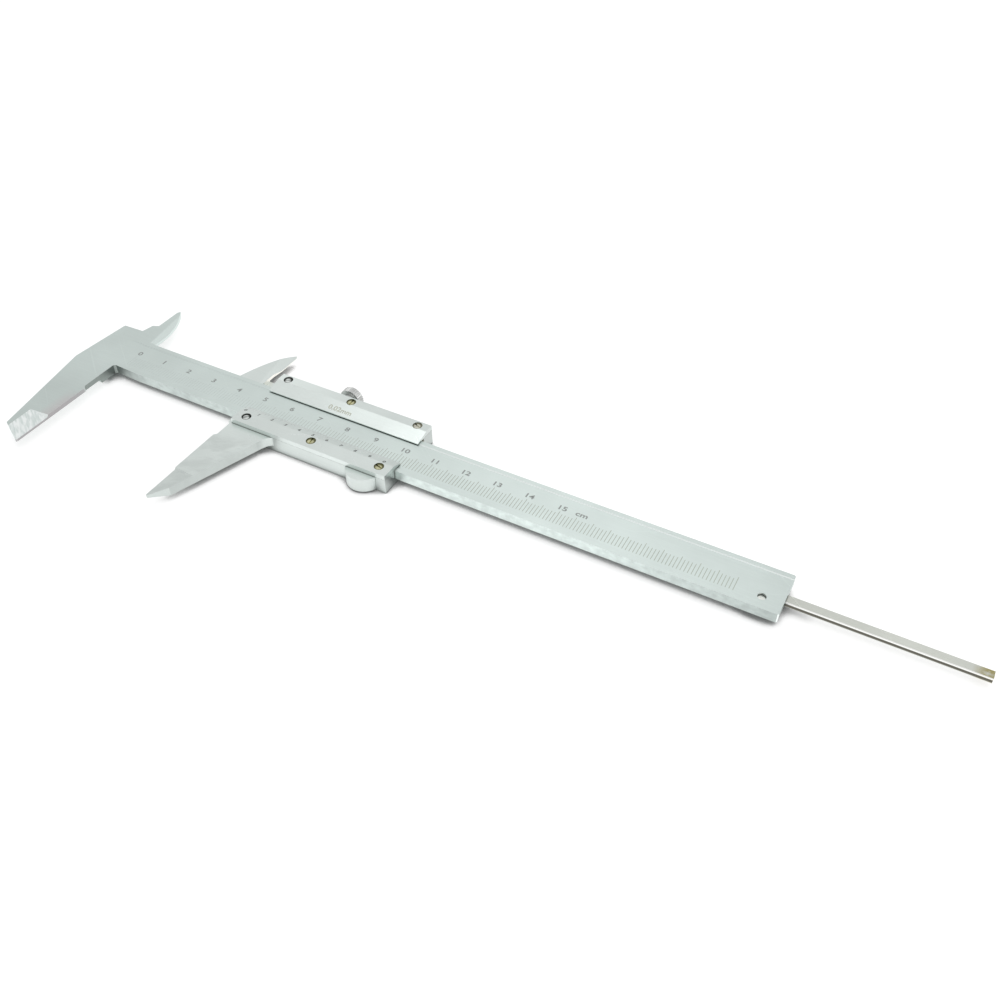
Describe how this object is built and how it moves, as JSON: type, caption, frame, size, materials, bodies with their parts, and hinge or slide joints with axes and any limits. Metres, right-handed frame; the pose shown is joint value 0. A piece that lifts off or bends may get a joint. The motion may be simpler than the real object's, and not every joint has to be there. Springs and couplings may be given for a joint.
{
  "type": "vernier caliper",
  "caption": "Vernier caliper lying on its back and opened part way: graduated beam with fixed jaws, slider with moving jaws and vernier, depth rod, knurled lock screw.",
  "frame": {"origin": "middle of the bounding box in X and Y, on the plane the tool rests on (the slider's flat back)", "axes": "+X along the beam from the fixed jaws towards the depth rod, +Y from the outside jaws towards the inside jaws, +Z out of the graduated face"},
  "size_m": [0.2792, 0.0738, 0.0072],
  "materials": {
    "beam_steel": "satin ground stainless, slightly worn",
    "slider_steel": "satin ground stainless",
    "plate_chrome": "matt satin chrome",
    "rod_steel": "drawn, warm grey, stained at the tip",
    "dark_screw": "blackened, oily, worn to brass tint",
    "knob_steel": "knurled and polished",
    "bronze": "satin spring bronze"
  },
  "bodies": {
    "beam_body": {"beam": "beam_steel", "end_stop": "beam_steel", "end_stop_screw": "dark_screw"},
    "slider_body": {"slider_frame": "slider_steel", "upper_plate": "plate_chrome", "vernier_plate": "plate_chrome", "gib_strip": "bronze", "lock_pad": "bronze", "depth_rod": "rod_steel", "upper_screw_1": "dark_screw", "upper_screw_2": "dark_screw", "upper_screw_3": "dark_screw", "vernier_screw_1": "dark_screw", "vernier_screw_2": "dark_screw", "vernier_screw_3": "dark_screw", "gib_set_screw_1": "dark_screw", "gib_set_screw_2": "dark_screw", "rod_rivet_1": "rod_steel", "rod_rivet_2": "rod_steel"},
    "lock_screw_body": {"lock_stud": "knob_steel", "lock_knob": "knob_steel"}
  },
  "joints": [
    {"name": "slider_slide", "type": "slide", "parent": "beam_body", "child": "slider_body", "axis": [1, 0, 0], "range_m": [-0.04928, 0.1012]},
    {"name": "lock_screw_turn", "type": "hinge", "parent": "slider_body", "child": "lock_screw_body", "pos_m": [-0.0504, 0.0252, 0.00365], "axis": [0, 1, 0], "range_deg": [0, 360]}
  ]
}
